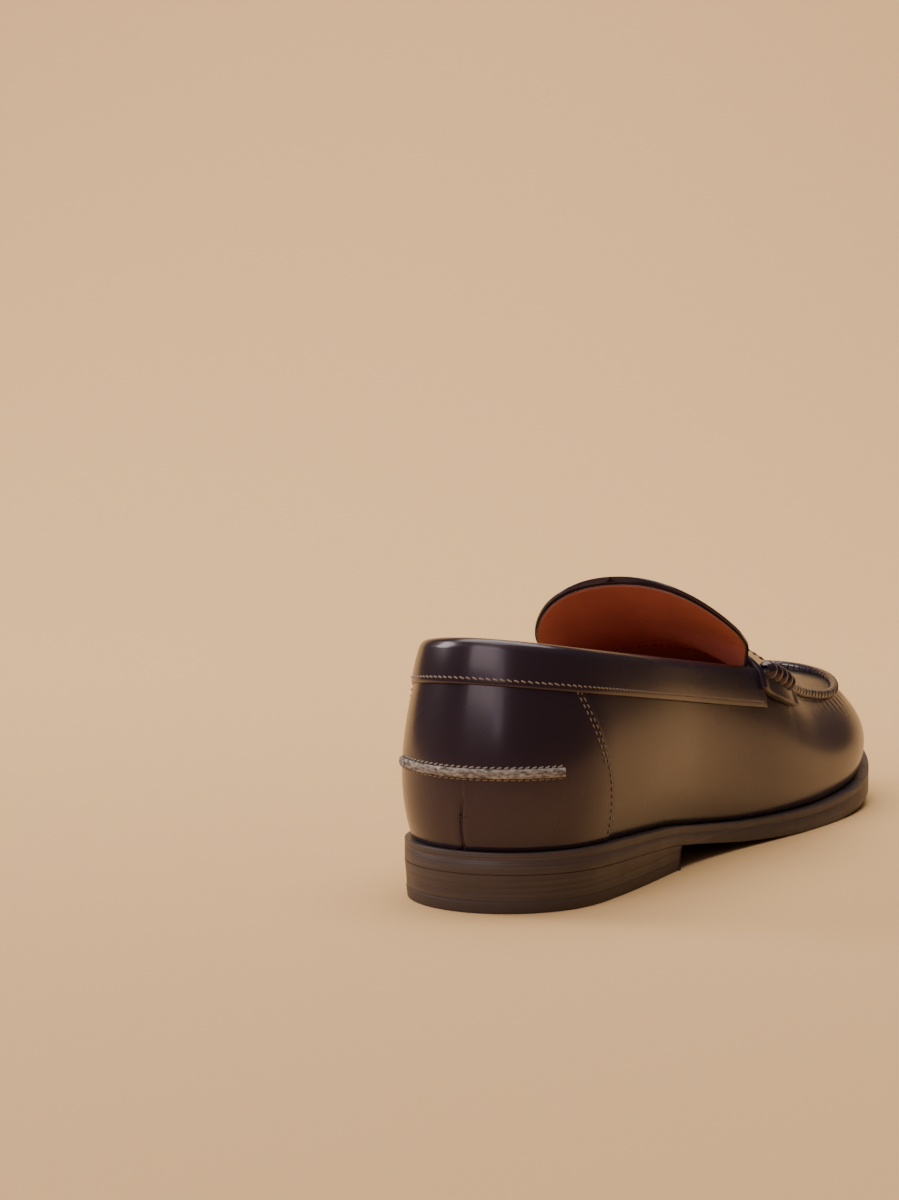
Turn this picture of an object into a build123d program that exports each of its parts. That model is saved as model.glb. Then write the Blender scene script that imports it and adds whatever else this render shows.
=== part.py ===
from build123d import *
import os

# A right-foot penny loafer in millimetres. +X points to the toe, +Y to the inner side of the
# foot, +Z up. The origin is on the floor, under the middle of the shoe.

os.makedirs("parts", exist_ok=True)

# ---------------------------------------------------------------- driving dimensions

# Edge of the sole seen from above, from the back of the heel along the outer side.
SOLE_EDGE = [
    (-149, 0), (-142.5, -18.5), (-128, -29.5), (-108, -33), (-79, -33.8), (-44, -34.2), (-9, -38.6),
    (26, -45.6), (60, -49.6), (85, -49.4), (110, -43.5), (135, -28.5), (151, 1), (137, 33.5),
    (110, 46.5), (80, 50.4), (55, 49.8), (26, 44), (-9, 35.4), (-44, 30.2), (-79, 31.8),
    (-108, 32.8), (-128, 29.5), (-142.5, 18.5),
]

SOLE_REACH = 70  # half depth or height that is sure to pass the whole shoe
HEEL_BREAST = -56  # front face of the heel
HEEL_TAPER = 0.8  # the heel is this much smaller than the sole all round
TOP_PIECE = 3.6  # rubber piece that meets the floor
LOWER_LIFT_TOP = 6.4
MIDSOLE = 2.3
GAP = 0.2  # clearance between neighbouring layers

LEATHER = 1.3  # outer leather
STIFFENER = 1.0
LINING = 0.9
QUARTER_PROUD = 0.35  # the heel quarter stands this much above the vamp wall
BINDING = 0.9
BINDING_DEPTH = 12.5  # height of the strip sewn round the collar

STRAP_BACK = 1  # rear edge of the saddle strap
STRAP_FRONT = 27
STRAP_THICK = 2.0
STRAP_LIFT = 0.35  # clearance between the strap and what it lies on
TONGUE_TIP = -36
TONGUE_HALF = 30.0
TONGUE_GAP = 1.0  # gap between the moving flap and its sewn root at the middle
THREAD = 0.35  # radius of sewing thread


def curve(*keys):
    """A smooth function through (x, value) keys, with level ends outside them."""
    xs = [key[0] for key in keys]
    ys = [key[1] for key in keys]
    last = len(keys) - 1

    def slope(i):
        low = max(i - 1, 0)
        high = min(i + 1, last)
        return (ys[high] - ys[low]) / (xs[high] - xs[low])

    def value(x):
        x = min(max(x, xs[0]), xs[last])
        i = max(k for k in range(last) if xs[k] <= x)
        span = xs[i + 1] - xs[i]
        t = (x - xs[i]) / span
        start = (1 + 2 * t) * (1 - t) ** 2 * ys[i] + t * (1 - t) ** 2 * span * slope(i)
        end = t * t * (3 - 2 * t) * ys[i + 1] - t * t * (1 - t) * span * slope(i + 1)
        return start + end

    return value


# Side view: the top and the bottom of the sole along the shoe.
seat = curve((-150, 18.4), (-110, 17.6), (-65, 15.2), (-39, 12.2), (-9, 9.3), (21, 8.1),
             (51, 8.2), (91, 11.3), (126, 17.5), (152, 24.5))
tread = curve((-150, 11.8), (-110, 10.9), (-65, 8.9), (-39, 5.9), (-9, 2.3), (21, 0.4),
              (41, 0), (56, 0.1), (91, 2.7), (126, 8.9), (152, 16.0))

# Side wall of the upper: outward reach from the sole edge at four levels, and its top edge.
feather = curve((-150, -2.5), (1, -3.2), (101, -4.5), (151, -6))
belly = curve((-150, 4.2), (-111, 3.6), (-52, 4.0), (1, 2.5), (51, 1.6), (101, 1.2), (151, 1.5))
shoulder = curve((-150, -3.2), (-111, 0), (-52, 1.6), (1, 1.0), (51, -1.6), (101, -2.6), (151, -7))
top_reach = curve((-150, -8.4), (-111, -4.6), (-52, -1.8), (1, -3.4), (51, -11), (101, -13),
                  (151, -23))
collar = curve((-150, 80.5), (-111, 75.2), (-79, 70.6), (-44, 65.6), (-9, 60.6), (30, 55.2))
under_strap = curve((1, 0), (26, 1))  # share of the apron line in the wall's top edge

# Top of the forefoot: height along the middle, and how much it drops to the sides.
crown = curve((-36, 93), (-20, 83.6), (1, 72.6), (27, 66.6), (51, 60), (81, 52.4), (111, 46.6),
              (131, 44.6), (151, 43))
arch = curve((-36, 0.0108), (1, 0.0103), (27, 0.0098), (51, 0.0085), (81, 0.006), (111, 0.003),
             (151, 0.002))
tilt = curve((4, 0), (27, 0.03), (51, 0.08), (81, 0.07), (111, 0.025), (131, 0))

with BuildLine() as sole_outline:
    Spline(*SOLE_EDGE, periodic=True)
EDGE = sole_outline.edges()[0]


def top_height(x, y):
    """Outer surface of the forefoot, the strap's bed and the tongue."""
    return crown(x) - arch(x) * y * y + tilt(x) * y


def place(u):
    """Point of the sole edge at share u of its length, counted from the back of the heel."""
    return EDGE @ (u % 1)


def outward(u):
    along = EDGE % (u % 1)
    return Vector(along.Y, -along.X, 0)


def share_at(x, side):
    """Share of the sole edge at length x; side is -1 for the outer side and 1 for the inner."""
    low, high = (0.02, 0.5) if side < 0 else (0.98, 0.5)
    for _ in range(30):
        middle = (low + high) / 2
        if place(middle).X < x:
            low = middle
        else:
            high = middle
    return middle


def seat_line(u):
    return seat(place(u).X) + 0.3


def top_line(u):
    """Height of the top edge of the side wall: the collar, then the apron seam."""
    foot = place(u)
    rim = foot + outward(u) * top_reach(foot.X)
    share = under_strap(foot.X)
    return (1 - share) * collar(foot.X) + share * top_height(rim.X, rim.Y)


def wall_profile(u, depth, low, high, count=7):
    """Points of the side wall in the vertical plane across u, depth inside its outer face."""
    x = place(u).X
    reaches = [feather(x), belly(x), shoulder(x), top_reach(x)]
    bottom = seat_line(u)
    height = top_line(u) - bottom
    points = []
    for i in range(count):
        z = low + (high - low) * i / (count - 1)
        v = (z - bottom) / height
        weights = [(1 - v) ** 3, 3 * v * (1 - v) ** 2, 3 * v * v * (1 - v), v ** 3]
        reach = sum(w * r for w, r in zip(weights, reaches))
        steps = [b - a for a, b in zip(reaches, reaches[1:])]
        lean = 3 * (steps[0] * (1 - v) ** 2 + steps[1] * 2 * v * (1 - v) + steps[2] * v * v) / height
        length = (1 + lean * lean) ** 0.5
        points.append((reach - depth / length, z + depth * lean / length))
    return points


def section_plane(u):
    along = EDGE % (u % 1)
    return Plane(origin=place(u), x_dir=outward(u), z_dir=along * -1)


def wall_section(u, low, high, outer, inner):
    """A slice of one layer of the wall between two heights and two depths."""
    with BuildSketch(section_plane(u)) as section:
        with BuildLine():
            outside = Spline(*wall_profile(u, outer, low(u), high(u)))
            inside = Spline(*wall_profile(u, inner, low(u), high(u)))
            Line(outside @ 0, inside @ 0)
            Line(outside @ 1, inside @ 1)
        make_face()
    return section.sketch


def spread(start, end, count):
    return [start + (end - start) * i / (count - 1) for i in range(count)]


def wall_sections(start, end, count, low, high, outer, inner):
    return [wall_section(u, low, high, outer, inner) for u in spread(start, end, count)]


def wall_point(u, height, depth):
    """One point in space, depth inside the outer face of the wall."""
    reach, z = wall_profile(u, depth, height, height + 0.01, 2)[0]
    foot = place(u) + outward(u) * reach
    return Vector(foot.X, foot.Y, z)


def edge_face(inset):
    """The sole's outline, made smaller by inset."""
    points = [place(u) - outward(u) * inset for u in spread(0, 1, 25)[:-1]]
    with BuildSketch() as outline:
        with BuildLine():
            Spline(*[(p.X, p.Y) for p in points], periodic=True)
        make_face()
    return outline.sketch


def side_band(low, high, back=-160, front=160, count=12):
    """Side view of a layer between two heights, as a sketch to cut the layer from a prism."""
    with BuildSketch(Plane.XZ) as band:
        with BuildLine():
            under = Spline(*[(x, low(x)) for x in spread(back, front, count)])
            over = Spline(*[(x, high(x)) for x in spread(back, front, count)])
            Line(under @ 0, over @ 0)
            Line(under @ 1, over @ 1)
        make_face()
    return band.sketch


def arch_section(x, top, bottom, half):
    """A slice across the shoe of one layer of the forefoot, measured down from its outer face."""
    sides = spread(-half, half, 5)
    with BuildSketch(Plane.YZ.offset(x)) as section:
        with BuildLine():
            over = Spline(*[(y, top_height(x, y) - top) for y in sides])
            under = Spline(*[(y, top_height(x, y) - bottom) for y in sides])
            Line(over @ 0, under @ 0)
            Line(over @ 1, under @ 1)
        make_face()
    return section.sketch


def arch_sections(back, front, count, top, bottom, half=46):
    return [arch_section(x, top, bottom, half) for x in spread(back, front, count)]


def rim_face(inset, back):
    """Plan of the apron inside the top edge of the wall, closed straight across at back."""
    shares = spread(share_at(back, -1), share_at(back, 1), 17)
    rim = [place(u) + outward(u) * (top_reach(place(u).X) - inset) for u in shares]
    with BuildSketch() as plan:
        with BuildLine():
            seam = Spline(*[(p.X, p.Y) for p in rim])
            Line(seam @ 0, seam @ 1)
        make_face()
    return plan.sketch


def tongue_face(inset, front, bow):
    """Plan of the tongue: straight sides, a broad round tip, and a bowed front edge."""
    half = TONGUE_HALF - inset
    tip = TONGUE_TIP + inset
    with BuildSketch() as plan:
        with BuildLine():
            left = Line((front - bow, -half), (-18, -half - 0.8))
            right = Line((front - bow, half), (-18, half + 0.8))
            Spline(left @ 1, (-31.5, -half * 0.62), (tip, 0), (-31.5, half * 0.62), right @ 1,
                   tangents=[(-1, 0), (1, 0)])
            ThreePointArc(left @ 0, (front, 0), right @ 0)
        make_face()
    return plan.sketch


def seam_cutter(gap):
    """Everything behind the curved side seams of the heel quarter, grown by gap."""
    with BuildSketch(Plane.XZ) as area:
        with BuildLine():
            seam = Spline((-108 + gap, 5), (-110 + gap, 25), (-117 + gap, 48), (-130 + gap, 82))
            Polyline(seam @ 1, (-170, 82), (-170, 5), seam @ 0)
        make_face()
    with BuildPart() as block:
        extrude(area.sketch, amount=SOLE_REACH, both=True)
    return block.part


def thread_path(points):
    with BuildLine() as path:
        Spline(*points)
    return path.line


def save(part, name):
    part.label = name
    export_step(part, f"parts/{name}.step")


# ---------------------------------------------------------------- sole and heel

def heel_face():
    """Outline of the heel: the sole's outline behind the breast, slightly smaller."""
    with BuildSketch() as outline:
        add(edge_face(HEEL_TAPER))
        with Locations((HEEL_BREAST + 150, 0)):
            Rectangle(300, 200, mode=Mode.SUBTRACT)
    return outline.sketch


HEEL_NAILS = [(-136, 0), (-126, 19), (-126, -19), (-100, 22), (-100, -23), (-72, 20), (-72, -22)]
NAIL = 0.9  # radius
NAIL_BOTTOM = 4.2

with BuildPart() as heel_nails:
    for x, y in HEEL_NAILS:
        nail_top = seat(x) + 3.4
        with Locations((x, y, NAIL_BOTTOM)):
            Cylinder(NAIL, nail_top - NAIL_BOTTOM, align=(Align.CENTER, Align.CENTER, Align.MIN))
save(heel_nails.part, "heel_nails")

with BuildPart() as nail_holes:
    with Locations(*[(x, y, 2 * TOP_PIECE) for x, y in HEEL_NAILS]):
        Cylinder(NAIL + 0.05, 60)

with BuildPart() as midsole:
    extrude(edge_face(0), amount=SOLE_REACH)
    extrude(side_band(lambda x: seat(x) - MIDSOLE, seat), amount=SOLE_REACH, both=True,
            mode=Mode.INTERSECT)
    add(nail_holes.part, mode=Mode.SUBTRACT)
save(midsole.part, "midsole")

with BuildPart() as outsole:
    extrude(edge_face(0), amount=SOLE_REACH)
    extrude(side_band(tread, lambda x: seat(x) - MIDSOLE - GAP), amount=SOLE_REACH, both=True,
            mode=Mode.INTERSECT)
    add(nail_holes.part, mode=Mode.SUBTRACT)
save(outsole.part, "outsole")

with BuildPart() as heel_upper_lift:
    extrude(heel_face(), amount=SOLE_REACH)
    extrude(side_band(lambda x: LOWER_LIFT_TOP + GAP, lambda x: tread(x) - GAP,
                      front=HEEL_BREAST + 1), amount=SOLE_REACH, both=True, mode=Mode.INTERSECT)
    add(nail_holes.part, mode=Mode.SUBTRACT)
save(heel_upper_lift.part, "heel_upper_lift")

with BuildPart() as heel_lower_lift:
    with BuildSketch(Plane.XY.offset(TOP_PIECE + GAP)):
        add(heel_face())
    extrude(amount=LOWER_LIFT_TOP - TOP_PIECE - GAP)
    add(nail_holes.part, mode=Mode.SUBTRACT)
save(heel_lower_lift.part, "heel_lower_lift")

PIN_PLACES = [(-138, 0), (-120, 24), (-120, -24), (-92, 25), (-92, -26), (-64, 24), (-64, -26)]

with BuildPart() as heel_top_piece:
    extrude(heel_face(), amount=TOP_PIECE)
    chamfer(heel_top_piece.faces().sort_by(Axis.Z)[0].edges(), 0.5)
    with Locations(*[(x, y, 0) for x, y in PIN_PLACES]):
        Cylinder(1.2, 2.4, align=(Align.CENTER, Align.CENTER, Align.MIN), mode=Mode.SUBTRACT)
save(heel_top_piece.part, "heel_top_piece")

with BuildPart() as top_piece_pins:
    with Locations(*[(x, y, 0.3) for x, y in PIN_PLACES]):
        Cylinder(1.15, 2, align=(Align.CENTER, Align.CENTER, Align.MIN))
save(top_piece_pins.part, "top_piece_pins")

# ---------------------------------------------------------------- inside the shoe

FILLER_TOP = 1.6  # heights above the seat
INSOLE_LOW = 1.75
INSOLE_TOP = 4.0
SOCK_TOP = 5.0
SHANK_BACK = -112
SHANK_FRONT = 8
SHANK_WIDTH = 14

with BuildPart() as shank:
    with BuildSketch():
        with Locations(((SHANK_BACK + SHANK_FRONT) / 2, 0)):
            SlotOverall(SHANK_FRONT - SHANK_BACK, SHANK_WIDTH)
    extrude(amount=SOLE_REACH)
    extrude(side_band(lambda x: seat(x) + 0.2, lambda x: seat(x) + FILLER_TOP - 0.1),
            amount=SOLE_REACH, both=True, mode=Mode.INTERSECT)
save(shank.part, "shank")

with BuildPart() as cork_filler:
    extrude(edge_face(8.5), amount=SOLE_REACH)
    extrude(side_band(lambda x: seat(x) + GAP, lambda x: seat(x) + FILLER_TOP),
            amount=SOLE_REACH, both=True, mode=Mode.INTERSECT)
    with BuildSketch():
        with Locations(((SHANK_BACK + SHANK_FRONT) / 2, 0)):
            SlotOverall(SHANK_FRONT - SHANK_BACK + 0.4, SHANK_WIDTH + 0.4)
    extrude(amount=SOLE_REACH, mode=Mode.SUBTRACT)
    add(nail_holes.part, mode=Mode.SUBTRACT)
save(cork_filler.part, "cork_filler")

with BuildPart() as insole_board:
    extrude(edge_face(8), amount=SOLE_REACH)
    extrude(side_band(lambda x: seat(x) + INSOLE_LOW, lambda x: seat(x) + INSOLE_TOP),
            amount=SOLE_REACH, both=True, mode=Mode.INTERSECT)
    add(nail_holes.part, mode=Mode.SUBTRACT)
save(insole_board.part, "insole_board")

with BuildPart() as sock_liner:
    extrude(edge_face(8.3), amount=SOLE_REACH)
    extrude(side_band(lambda x: seat(x) + INSOLE_TOP + GAP, lambda x: seat(x) + SOCK_TOP),
            amount=SOLE_REACH, both=True, mode=Mode.INTERSECT)
save(sock_liner.part, "sock_liner")

# ---------------------------------------------------------------- walls of the upper

TOE_START = 0.035
HEEL_END = 0.16
STIFF_OUT = LEATHER + GAP
STIFF_IN = STIFF_OUT + STIFFENER
LINING_OUT = STIFF_IN + GAP
LINING_IN = LINING_OUT + LINING


rim_drop = curve((4, 1.8), (27, 0.3))


def under_binding(u):
    """The wall stops below the fold of the collar strip, and reaches full height ahead of it."""
    return top_line(u) - rim_drop(place(u).X)


with BuildPart() as vamp_wall:
    loft(wall_sections(TOE_START, 1 - TOE_START, 57, seat_line, under_binding, 0, LEATHER))
    add(seam_cutter(GAP), mode=Mode.SUBTRACT)
save(vamp_wall.part, "vamp_wall")

RIDGE_LOW = 40.8
RIDGE_HIGH = 43.4
RIDGE_END = 0.05

with BuildPart() as quarter_panel:
    loft(wall_sections(-HEEL_END, HEEL_END, 21, seat_line, under_binding, -QUARTER_PROUD,
                       LEATHER - QUARTER_PROUD))
    add(seam_cutter(0), mode=Mode.INTERSECT)
    with BuildSketch():
        with Locations((-150, 0)):
            Rectangle(20, 0.5)
    extrude(amount=RIDGE_LOW, mode=Mode.SUBTRACT)
save(quarter_panel.part, "quarter_panel")

with BuildPart() as heel_ridge:
    loft(wall_sections(-RIDGE_END, RIDGE_END, 13, lambda u: RIDGE_LOW, lambda u: RIDGE_HIGH,
                       -QUARTER_PROUD - 2.1, -QUARTER_PROUD - GAP))
save(heel_ridge.part, "heel_ridge")

with BuildPart() as heel_counter:
    loft(wall_sections(-HEEL_END, HEEL_END, 21, lambda u: seat_line(u) + 0.5,
                       lambda u: top_line(u) - BINDING_DEPTH - 4, STIFF_OUT, STIFF_IN))
save(heel_counter.part, "heel_counter")

with BuildPart() as toe_puff:
    loft(wall_sections(0.36, 0.64, 17, lambda u: seat_line(u) + 0.5,
                       lambda u: top_line(u) - 3, STIFF_OUT, STIFF_IN))
save(toe_puff.part, "toe_puff")

COLLAR_END = share_at(0, -1)
COLLAR_START = share_at(0, 1) - 1

with BuildPart() as collar_padding:
    loft(wall_sections(COLLAR_START, COLLAR_END, 29, lambda u: top_line(u) - BINDING_DEPTH,
                       lambda u: top_line(u) - 2.2, STIFF_OUT + 0.15, STIFF_IN))
save(collar_padding.part, "collar_padding")

with BuildPart() as quarter_lining:
    loft(wall_sections(-HEEL_END, HEEL_END, 21, lambda u: seat_line(u) + 0.3,
                       lambda u: top_line(u) - 2.2, LINING_OUT, LINING_IN))
save(quarter_lining.part, "quarter_lining")

with BuildPart() as vamp_lining:
    loft(wall_sections(HEEL_END + 0.001, 1 - HEEL_END - 0.001, 29, lambda u: seat_line(u) + 0.3,
                       lambda u: top_line(u) - 2.2, LINING_OUT, LINING_IN))
save(vamp_lining.part, "vamp_lining")


def binding_section(u):
    """The collar strip: an outer leg, a fold over the top edge, and a short inner leg."""
    outside = -QUARTER_PROUD - 2 * GAP
    inside = LINING_IN + 4 * GAP
    top = top_line(u)
    skin = wall_profile(u, outside - BINDING, top - BINDING_DEPTH, top - 1.6)
    bed = wall_profile(u, outside, top - BINDING_DEPTH, top - 1.2)
    inner_bed = wall_profile(u, inside, top - 8, top - 1.2)
    inner_skin = wall_profile(u, inside + BINDING, top - 8, top - 1.6)
    with BuildSketch(section_plane(u)) as section:
        with BuildLine():
            leg = Spline(*skin)
            bed_line = Spline(*bed)
            inner_leg = Spline(*inner_skin)
            inner_line = Spline(*inner_bed)
            Line(leg @ 0, bed_line @ 0)
            Line(inner_leg @ 0, inner_line @ 0)
            middle = (leg @ 1 + inner_leg @ 1) / 2
            ThreePointArc(leg @ 1, (middle.X, top + 1.3), inner_leg @ 1)
            Line(bed_line @ 1, inner_line @ 1)
        make_face()
    return section.sketch


with BuildPart() as collar_binding:
    loft([binding_section(u) for u in spread(COLLAR_START, COLLAR_END, 37)])
save(collar_binding.part, "collar_binding")

# ---------------------------------------------------------------- top of the forefoot

SEAM_RADIUS = 1.5

with BuildPart() as plug:
    extrude(rim_face(SEAM_RADIUS + GAP, STRAP_BACK), amount=2 * SOLE_REACH)
    loft(arch_sections(STRAP_BACK, 145, 13, 0, LEATHER), mode=Mode.INTERSECT)
save(plug.part, "plug")

with BuildPart() as plug_lining:
    extrude(rim_face(LINING_IN + 1.5, STRAP_FRONT + 1), amount=2 * SOLE_REACH)
    loft(arch_sections(STRAP_FRONT, 145, 8, LEATHER + GAP, LEATHER + GAP + LINING),
         mode=Mode.INTERSECT)
save(plug_lining.part, "plug_lining")


def rim_point(u, rise, reach=0):
    foot = place(u)
    rim = foot + outward(u) * (top_reach(foot.X) + reach)
    return Vector(rim.X, rim.Y, top_line(u) + rise)


SEAM_START = share_at(STRAP_FRONT + 3, -1)
SEAM_END = share_at(STRAP_FRONT + 3, 1)

with BuildPart() as apron_seam:
    seam_path = thread_path([rim_point(u, SEAM_RADIUS + 0.15) for u in spread(SEAM_START, SEAM_END, 19)])
    with BuildSketch(Plane(origin=seam_path @ 0, z_dir=seam_path % 0)):
        Circle(SEAM_RADIUS)
    sweep(path=seam_path)
save(apron_seam.part, "apron_seam")

with BuildPart() as apron_thread:
    thread_line = thread_path([rim_point(u, 2 * SEAM_RADIUS + 0.15 + THREAD + 0.05)
                               for u in spread(SEAM_START, SEAM_END, 19)])
    with BuildSketch(Plane(origin=thread_line @ 0, z_dir=thread_line % 0)):
        Circle(THREAD)
    sweep(path=thread_line)
save(apron_thread.part, "apron_thread")

# ---------------------------------------------------------------- saddle strap and its rolls

TAB_BOTTOM = 45.5
ROLL = 3.0  # radius of a beef roll's lobe
ROLL_WAIST = 2.0
ROLL_LOBES = 5
ROLL_BACK = 4
ROLL_PITCH = 4.4


def roll_plane(side):
    """Plane at the rear end of a beef roll with its x axis along the roll."""
    ends = []
    for x in (ROLL_BACK, ROLL_BACK + ROLL_LOBES * ROLL_PITCH):
        u = share_at(x, side)
        ends.append(rim_point(u, 3.0, 2.6))
    run = (ends[1] - ends[0]).normalized()
    return Plane(origin=ends[0], x_dir=run, z_dir=Vector(0, 1, 0).cross(run).cross(run))


def roll_sketch(plane, growth):
    """Half of the lobed outline of a roll, to be turned about its own axis."""
    with BuildSketch(plane) as outline:
        with BuildLine():
            Line((0, 0), (0, ROLL_WAIST + growth))
            for i in range(ROLL_LOBES):
                start = i * ROLL_PITCH
                ThreePointArc((start, ROLL_WAIST + growth), (start + ROLL_PITCH / 2, ROLL + growth),
                              (start + ROLL_PITCH, ROLL_WAIST + growth))
            Line((ROLL_LOBES * ROLL_PITCH, ROLL_WAIST + growth), (ROLL_LOBES * ROLL_PITCH, 0))
            Line((ROLL_LOBES * ROLL_PITCH, 0), (0, 0))
        make_face()
    return outline.sketch


def roll_axis(plane):
    return Axis(plane.origin, plane.x_dir)


def tab_sections(side):
    ends = sorted(share_at(x, side) for x in (STRAP_BACK, STRAP_FRONT))
    return wall_sections(ends[0], ends[1], 4, lambda u: TAB_BOTTOM, lambda u: top_line(u) + 1.2,
                         -STRAP_LIFT - STRAP_THICK - 0.1, -STRAP_LIFT - 0.1)


with BuildPart() as saddle_strap:
    loft(arch_sections(STRAP_BACK, STRAP_FRONT, 4, -STRAP_LIFT - STRAP_THICK, -STRAP_LIFT, half=39))
    for side in (-1, 1):
        loft(tab_sections(side))
        plane = roll_plane(side)
        revolve(roll_sketch(plane, 1.0), axis=roll_axis(plane), mode=Mode.SUBTRACT)
    with BuildSketch():
        with BuildLine():
            back = (STRAP_BACK + STRAP_FRONT) / 2 - 5
            front = back + 10
            ThreePointArc((front - 2, -15), (back, 0), (front - 2, 15))
            ThreePointArc((front - 2, -15), (front, 0), (front - 2, 15))
        make_face()
    extrude(amount=2 * SOLE_REACH, mode=Mode.SUBTRACT)
save(saddle_strap.part, "saddle_strap")

for side, name in ((-1, "beef_roll_outer"), (1, "beef_roll_inner")):
    plane = roll_plane(side)
    with BuildPart() as beef_roll:
        revolve(roll_sketch(plane, 0), axis=roll_axis(plane))
    save(beef_roll.part, name)

for side, name in ((-1, "roll_thread_outer"), (1, "roll_thread_inner")):
    plane = roll_plane(side)
    with BuildPart() as roll_thread:
        for i in range(1, ROLL_LOBES):
            with BuildSketch(plane):
                with Locations((i * ROLL_PITCH, ROLL_WAIST + THREAD + 0.3)):
                    Circle(THREAD)
            revolve(axis=roll_axis(plane))
    save(roll_thread.part, name)

# ---------------------------------------------------------------- tongue

TONGUE_TOP = LEATHER + 0.3  # the tongue lies one leather below the plug
TONGUE_LOW = TONGUE_TOP + 1.5
ROOT_FRONT = 24

with BuildPart() as tongue_root:
    extrude(tongue_face(0, ROOT_FRONT, 0.1), amount=2 * SOLE_REACH)
    loft(arch_sections(STRAP_BACK, ROOT_FRONT + 1, 4, TONGUE_TOP, TONGUE_LOW), mode=Mode.INTERSECT)
save(tongue_root.part, "tongue_root")

with BuildPart() as tongue:
    extrude(tongue_face(0, STRAP_BACK - TONGUE_GAP, 2.5), amount=2 * SOLE_REACH)
    loft(arch_sections(TONGUE_TIP - 1, STRAP_BACK, 6, TONGUE_TOP, TONGUE_LOW), mode=Mode.INTERSECT)
save(tongue.part, "tongue")

with BuildPart() as tongue_lining:
    extrude(tongue_face(0.4, STRAP_BACK - TONGUE_GAP, 2.5), amount=2 * SOLE_REACH)
    loft(arch_sections(TONGUE_TIP - 1, STRAP_BACK, 6, TONGUE_LOW + GAP, TONGUE_LOW + GAP + LINING),
         mode=Mode.INTERSECT)
save(tongue_lining.part, "tongue_lining")


def rows(paths):
    """Thin tubes along several lines, for rows of sewing thread."""
    with BuildPart() as threads:
        for path in paths:
            with BuildSketch(Plane(origin=path @ 0, z_dir=path % 0)) as ring:
                Circle(THREAD)
            sweep(ring.sketch, path=path)
    return threads.part


TONGUE_STITCH = 2.2  # distance from the tongue's edge
with BuildLine() as tongue_row:
    add(tongue_face(TONGUE_STITCH, STRAP_BACK, 2.5).edges().sort_by(Axis.X)[0])
row_edge = tongue_row.edges()[0]
tongue_points = [row_edge @ t for t in spread(0, 1, 11)]
lift = THREAD + 0.4 - TONGUE_TOP
save(rows([thread_path([Vector(p.X, p.Y, top_height(p.X, p.Y) + lift) for p in tongue_points])]),
     "tongue_edge_stitch")

# ---------------------------------------------------------------- rows of stitches on the walls

PROUD = -QUARTER_PROUD - THREAD - 0.05
BINDING_FACE = -QUARTER_PROUD - 2 * GAP - BINDING - THREAD - 0.1

collar_points = [wall_point(u, top_line(u) - BINDING_DEPTH + 2, BINDING_FACE)
                 for u in spread(COLLAR_START, COLLAR_END, 29)]
save(rows([thread_path(collar_points)]), "collar_stitch")


def seam_row(side, setback):
    """Points down a side seam of the heel quarter, setback behind its edge."""
    points = []
    for share in spread(0, 1, 6):
        z = 22 + share * 38
        x = -109.5 - 0.13 * (z - 22) - 0.0045 * (z - 22) ** 2 - setback
        points.append(wall_point(share_at(x - 1.2 * share, side), z, PROUD))
    return thread_path(points)


save(rows([seam_row(side, setback) for side in (-1, 1) for setback in (1.5, 3.7)]),
     "quarter_stitches")

ridge_rows = []
for height in (RIDGE_HIGH + 0.7, RIDGE_LOW - 0.7):
    ridge_rows.append(thread_path([wall_point(u, height, PROUD)
                                   for u in spread(-RIDGE_END, RIDGE_END, 9)]))
save(rows(ridge_rows), "ridge_stitches")

strap_rows = []
for x in (STRAP_BACK + 2.2, STRAP_FRONT - 2.2):
    strap_rows.append(thread_path([Vector(x, y, top_height(x, y) + STRAP_LIFT + STRAP_THICK + THREAD + 0.35)
                                   for y in spread(-32, 32, 7)]))
save(rows(strap_rows), "strap_stitches")

root_points = [Vector(18 - 0.006 * y * y, y, top_height(18 - 0.006 * y * y, y) - TONGUE_LOW
                      - THREAD - 0.25) for y in spread(-26, 26, 9)]
save(rows([thread_path(root_points)]), "tongue_root_stitch")
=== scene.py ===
import math

import bmesh
import bpy
import numpy as np
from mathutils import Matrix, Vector


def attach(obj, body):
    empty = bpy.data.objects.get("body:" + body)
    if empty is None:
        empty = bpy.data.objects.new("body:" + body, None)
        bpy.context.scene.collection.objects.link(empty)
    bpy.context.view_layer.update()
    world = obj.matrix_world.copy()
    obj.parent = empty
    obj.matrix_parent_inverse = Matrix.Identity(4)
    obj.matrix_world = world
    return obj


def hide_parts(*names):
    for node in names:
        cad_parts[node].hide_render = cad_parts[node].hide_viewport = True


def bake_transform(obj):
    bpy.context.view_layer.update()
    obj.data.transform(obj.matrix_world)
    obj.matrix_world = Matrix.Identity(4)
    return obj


# A right-foot penny loafer. Shapes are worked out in millimetres in the CAD's frame (+X to the
# toe, +Y to the inner side, +Z up, origin on the floor) and turned into metres by build_mesh.

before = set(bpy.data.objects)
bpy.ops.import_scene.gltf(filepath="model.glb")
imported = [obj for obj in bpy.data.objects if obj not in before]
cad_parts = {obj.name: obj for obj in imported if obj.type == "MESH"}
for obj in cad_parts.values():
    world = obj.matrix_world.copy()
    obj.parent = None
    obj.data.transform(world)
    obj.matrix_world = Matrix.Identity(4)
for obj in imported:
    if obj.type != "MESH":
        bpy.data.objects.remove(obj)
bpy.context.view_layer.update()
MM = 0.001

# ---------------------------------------------------------------- driving dimensions

SOLE_EDGE = [
    (-149, 0), (-142.5, -18.5), (-128, -29.5), (-108, -33), (-79, -33.8), (-44, -34.2), (-9, -38.6),
    (26, -45.6), (60, -49.6), (85, -49.4), (110, -43.5), (135, -28.5), (151, 1), (137, 33.5),
    (110, 46.5), (80, 50.4), (55, 49.8), (26, 44), (-9, 35.4), (-44, 30.2), (-79, 31.8),
    (-108, 32.8), (-128, 29.5), (-142.5, 18.5),
]
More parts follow.
